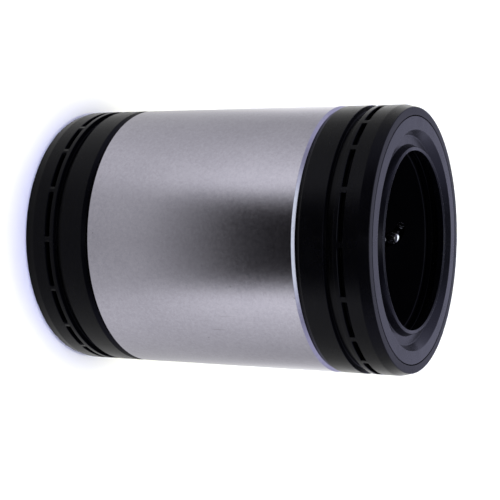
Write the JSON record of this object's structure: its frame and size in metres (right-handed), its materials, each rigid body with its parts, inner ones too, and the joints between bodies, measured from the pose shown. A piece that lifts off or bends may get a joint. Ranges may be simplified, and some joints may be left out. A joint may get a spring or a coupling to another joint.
{
  "type": "linear ball bushing",
  "caption": "Closed linear ball bushing: ground steel sleeve between black moulded end rings with snap-ring grooves and wiper seals, with recirculating ball circuits inside.",
  "frame": {"origin": "centre of the bushing, on the shaft axis midway between the two end faces", "axes": "+Z along the shaft axis towards the upper end ring; -Y is the side of the first ball circuit; the bushing stands on its lower end face"},
  "size_m": [0.09, 0.09, 0.125],
  "materials": {
    "ground_steel": "centreless-ground bearing steel, satin, fine marks round the circumference",
    "ring_polymer": "moulded black polyamide, semi-gloss with a faint mould texture",
    "seal_rubber": "moulded black nitrile rubber, smooth matt",
    "cage_polymer": "moulded black polyacetal, matt",
    "raceway_steel": "hardened and ground steel",
    "ball_steel": "polished bearing steel with a thin film of oil"
  },
  "bodies": {
    "bushing_body": {"outer_sleeve": "ground_steel", "end_ring_upper": "ring_polymer", "end_ring_lower": "ring_polymer", "seal_upper": "seal_rubber", "seal_lower": "seal_rubber", "ball_cage": "cage_polymer", "raceway_plate_1": "raceway_steel", "raceway_plate_2": "raceway_steel", "raceway_plate_3": "raceway_steel", "raceway_plate_4": "raceway_steel", "raceway_plate_5": "raceway_steel", "raceway_plate_6": "raceway_steel"},
    "loaded_row_1": {"loaded_balls_1": "ball_steel"},
    "return_row_1": {"return_balls_1": "ball_steel"},
    "turn_upper_1": {"turn_balls_upper_1": "ball_steel"},
    "turn_lower_1": {"turn_balls_lower_1": "ball_steel"},
    "loaded_row_2": {"loaded_balls_2": "ball_steel"},
    "return_row_2": {"return_balls_2": "ball_steel"},
    "turn_upper_2": {"turn_balls_upper_2": "ball_steel"},
    "turn_lower_2": {"turn_balls_lower_2": "ball_steel"},
    "loaded_row_3": {"loaded_balls_3": "ball_steel"},
    "return_row_3": {"return_balls_3": "ball_steel"},
    "turn_upper_3": {"turn_balls_upper_3": "ball_steel"},
    "turn_lower_3": {"turn_balls_lower_3": "ball_steel"},
    "loaded_row_4": {"loaded_balls_4": "ball_steel"},
    "return_row_4": {"return_balls_4": "ball_steel"},
    "turn_upper_4": {"turn_balls_upper_4": "ball_steel"},
    "turn_lower_4": {"turn_balls_lower_4": "ball_steel"},
    "loaded_row_5": {"loaded_balls_5": "ball_steel"},
    "return_row_5": {"return_balls_5": "ball_steel"},
    "turn_upper_5": {"turn_balls_upper_5": "ball_steel"},
    "turn_lower_5": {"turn_balls_lower_5": "ball_steel"},
    "loaded_row_6": {"loaded_balls_6": "ball_steel"},
    "return_row_6": {"return_balls_6": "ball_steel"},
    "turn_upper_6": {"turn_balls_upper_6": "ball_steel"},
    "turn_lower_6": {"turn_balls_lower_6": "ball_steel"}
  },
  "joints": [
    {"name": "loaded_row_1_roll", "type": "slide", "parent": "bushing_body", "child": "loaded_row_1", "axis": [0, 0, 1], "range_m": [-0.00385, 0.00385]},
    {"name": "return_row_1_roll", "type": "slide", "parent": "bushing_body", "child": "return_row_1", "axis": [0, 0, 1], "range_m": [-0.00385, 0.00385]},
    {"name": "turn_upper_1_roll", "type": "hinge", "parent": "bushing_body", "child": "turn_upper_1", "pos_m": [0.00706, -0.03383, 0.0385], "axis": [0.0347, 0.9994, 0], "range_deg": [-30.1, 30.1]},
    {"name": "turn_lower_1_roll", "type": "hinge", "parent": "bushing_body", "child": "turn_lower_1", "pos_m": [0.00706, -0.03383, -0.0385], "axis": [0.0347, 0.9994, 0], "range_deg": [-30.1, 30.1]},
    {"name": "loaded_row_2_roll", "type": "slide", "parent": "bushing_body", "child": "loaded_row_2", "axis": [0, 0, 1], "range_m": [-0.00385, 0.00385]},
    {"name": "return_row_2_roll", "type": "slide", "parent": "bushing_body", "child": "return_row_2", "axis": [0, 0, 1], "range_m": [-0.00385, 0.00385]},
    {"name": "turn_upper_2_roll", "type": "hinge", "parent": "bushing_body", "child": "turn_upper_2", "pos_m": [0.03282, -0.0108, 0.0385], "axis": [-0.8482, 0.5298, 0], "range_deg": [-30.1, 30.1]},
    {"name": "turn_lower_2_roll", "type": "hinge", "parent": "bushing_body", "child": "turn_lower_2", "pos_m": [0.03282, -0.0108, -0.0385], "axis": [-0.8482, 0.5298, 0], "range_deg": [-30.1, 30.1]},
    {"name": "loaded_row_3_roll", "type": "slide", "parent": "bushing_body", "child": "loaded_row_3", "axis": [0, 0, 1], "range_m": [-0.00385, 0.00385]},
    {"name": "return_row_3_roll", "type": "slide", "parent": "bushing_body", "child": "return_row_3", "axis": [0, 0, 1], "range_m": [-0.00385, 0.00385]},
    {"name": "turn_upper_3_roll", "type": "hinge", "parent": "bushing_body", "child": "turn_upper_3", "pos_m": [0.02577, 0.02302, 0.0385], "axis": [-0.8829, -0.4696, 0], "range_deg": [-30.1, 30.1]},
    {"name": "turn_lower_3_roll", "type": "hinge", "parent": "bushing_body", "child": "turn_lower_3", "pos_m": [0.02577, 0.02302, -0.0385], "axis": [-0.8829, -0.4696, 0], "range_deg": [-30.1, 30.1]},
    {"name": "loaded_row_4_roll", "type": "slide", "parent": "bushing_body", "child": "loaded_row_4", "axis": [0, 0, 1], "range_m": [-0.00385, 0.00385]},
    {"name": "return_row_4_roll", "type": "slide", "parent": "bushing_body", "child": "return_row_4", "axis": [0, 0, 1], "range_m": [-0.00385, 0.00385]},
    {"name": "turn_upper_4_roll", "type": "hinge", "parent": "bushing_body", "child": "turn_upper_4", "pos_m": [-0.00706, 0.03383, 0.0385], "axis": [-0.0347, -0.9994, 0], "range_deg": [-30.1, 30.1]},
    {"name": "turn_lower_4_roll", "type": "hinge", "parent": "bushing_body", "child": "turn_lower_4", "pos_m": [-0.00706, 0.03383, -0.0385], "axis": [-0.0347, -0.9994, 0], "range_deg": [-30.1, 30.1]},
    {"name": "loaded_row_5_roll", "type": "slide", "parent": "bushing_body", "child": "loaded_row_5", "axis": [0, 0, 1], "range_m": [-0.00385, 0.00385]},
    {"name": "return_row_5_roll", "type": "slide", "parent": "bushing_body", "child": "return_row_5", "axis": [0, 0, 1], "range_m": [-0.00385, 0.00385]},
    {"name": "turn_upper_5_roll", "type": "hinge", "parent": "bushing_body", "child": "turn_upper_5", "pos_m": [-0.03282, 0.0108, 0.0385], "axis": [0.8482, -0.5298, 0], "range_deg": [-30.1, 30.1]},
    {"name": "turn_lower_5_roll", "type": "hinge", "parent": "bushing_body", "child": "turn_lower_5", "pos_m": [-0.03282, 0.0108, -0.0385], "axis": [0.8482, -0.5298, 0], "range_deg": [-30.1, 30.1]},
    {"name": "loaded_row_6_roll", "type": "slide", "parent": "bushing_body", "child": "loaded_row_6", "axis": [0, 0, 1], "range_m": [-0.00385, 0.00385]},
    {"name": "return_row_6_roll", "type": "slide", "parent": "bushing_body", "child": "return_row_6", "axis": [0, 0, 1], "range_m": [-0.00385, 0.00385]},
    {"name": "turn_upper_6_roll", "type": "hinge", "parent": "bushing_body", "child": "turn_upper_6", "pos_m": [-0.02577, -0.02302, 0.0385], "axis": [0.8829, 0.4696, 0], "range_deg": [-30.1, 30.1]},
    {"name": "turn_lower_6_roll", "type": "hinge", "parent": "bushing_body", "child": "turn_lower_6", "pos_m": [-0.02577, -0.02302, -0.0385], "axis": [0.8829, 0.4696, 0], "range_deg": [-30.1, 30.1]}
  ],
  "couplings": [
    {"joint": "return_row_1_roll", "follows": "loaded_row_1_roll", "ratio": -1},
    {"joint": "turn_upper_1_roll", "follows": "loaded_row_1_roll", "rad_per_m": 136},
    {"joint": "turn_lower_1_roll", "follows": "loaded_row_1_roll", "rad_per_m": 136},
    {"joint": "return_row_2_roll", "follows": "loaded_row_2_roll", "ratio": -1},
    {"joint": "turn_upper_2_roll", "follows": "loaded_row_2_roll", "rad_per_m": 136},
    {"joint": "turn_lower_2_roll", "follows": "loaded_row_2_roll", "rad_per_m": 136},
    {"joint": "return_row_3_roll", "follows": "loaded_row_3_roll", "ratio": -1},
    {"joint": "turn_upper_3_roll", "follows": "loaded_row_3_roll", "rad_per_m": 136},
    {"joint": "turn_lower_3_roll", "follows": "loaded_row_3_roll", "rad_per_m": 136},
    {"joint": "return_row_4_roll", "follows": "loaded_row_4_roll", "ratio": -1},
    {"joint": "turn_upper_4_roll", "follows": "loaded_row_4_roll", "rad_per_m": 136},
    {"joint": "turn_lower_4_roll", "follows": "loaded_row_4_roll", "rad_per_m": 136},
    {"joint": "return_row_5_roll", "follows": "loaded_row_5_roll", "ratio": -1},
    {"joint": "turn_upper_5_roll", "follows": "loaded_row_5_roll", "rad_per_m": 136},
    {"joint": "turn_lower_5_roll", "follows": "loaded_row_5_roll", "rad_per_m": 136},
    {"joint": "return_row_6_roll", "follows": "loaded_row_6_roll", "ratio": -1},
    {"joint": "turn_upper_6_roll", "follows": "loaded_row_6_roll", "rad_per_m": 136},
    {"joint": "turn_lower_6_roll", "follows": "loaded_row_6_roll", "rad_per_m": 136}
  ]
}
